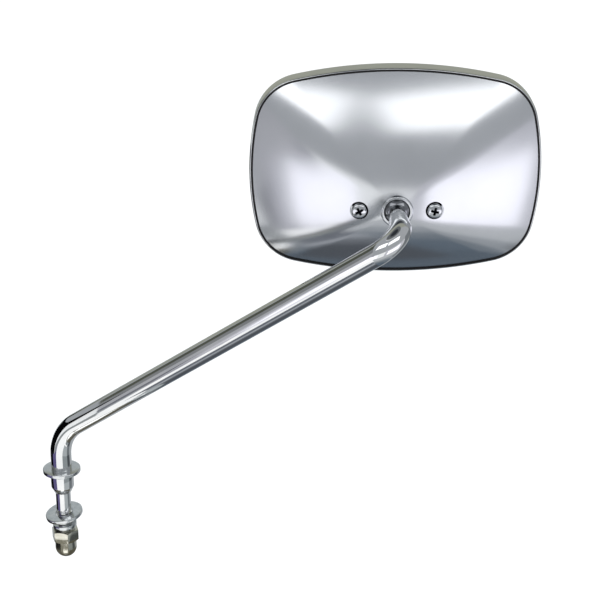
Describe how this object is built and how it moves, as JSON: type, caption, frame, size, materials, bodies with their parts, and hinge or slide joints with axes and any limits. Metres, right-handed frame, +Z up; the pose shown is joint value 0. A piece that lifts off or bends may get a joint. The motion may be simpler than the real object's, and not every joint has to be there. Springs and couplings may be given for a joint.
{
  "type": "motorcycle mirror",
  "caption": "Rectangular chromed rear-view mirror on a ball joint, carried by a bent rod stem whose stud bolts through a bracket with a bush, washers and a domed nut.",
  "frame": {"origin": "on the stud's axis at the lower end of the bush, where the bracket seats", "axes": "+Z up the stud, +X from the stud towards the head, +Y the way the glass faces"},
  "size_m": [0.2555, 0.0905, 0.2752],
  "materials": {
    "chrome": "bright chrome plate",
    "satin_chrome": "soft chrome plate",
    "zinc": "zinc plate",
    "nickel": "bright nickel plate",
    "screw_steel": "bright plated",
    "inner_steel": "plain pressed",
    "mirror_glass": "silvered glass",
    "rubber": "moulded black rubber",
    "nylon": "moulded nylon"
  },
  "bodies": {
    "stem": {"stem_rod": "chrome", "flange_washer": "zinc", "spacer_bush": "chrome"},
    "ball": {"pivot_ball": "chrome"},
    "cup": {"friction_cup": "nylon"},
    "head": {"back_shell": "satin_chrome", "rim": "chrome", "glass_gasket": "rubber", "mirror_glass": "mirror_glass", "backing_pad": "rubber", "clamp_plate": "inner_steel", "clamp_screw_left": "screw_steel", "clamp_screw_right": "screw_steel", "spring_washer_left": "inner_steel", "spring_washer_right": "inner_steel", "clamp_nut_left": "inner_steel", "clamp_nut_right": "inner_steel"},
    "washers": {"flat_washer": "zinc", "lock_washer": "zinc"},
    "nut": {"cap_nut": "nickel"}
  },
  "joints": [
    {"name": "head_roll", "type": "hinge", "parent": "stem", "child": "ball", "pos_m": [0.174, -0.033, 0.171], "axis": [0, 1, 0], "range_deg": [-45, 45]},
    {"name": "head_pan", "type": "hinge", "parent": "ball", "child": "cup", "pos_m": [0.174, -0.033, 0.171], "axis": [0, 0, 1], "range_deg": [-14, 14]},
    {"name": "head_tilt", "type": "hinge", "parent": "cup", "child": "head", "pos_m": [0.174, -0.033, 0.171], "axis": [1, 0, 0], "range_deg": [-14, 14]},
    {"name": "nut_travel", "type": "slide", "parent": "stem", "child": "washers", "axis": [0, 0, -1], "range_m": [-0.0026, 0.0301]},
    {"name": "nut_turn", "type": "hinge", "parent": "washers", "child": "nut", "pos_m": [0, 0, 0], "axis": [0, 0, -1], "range_deg": [-720, 8640]}
  ],
  "couplings": [
    {"joint": "nut_travel", "follows": "nut_turn", "m_per_rad": 0.00019894}
  ]
}
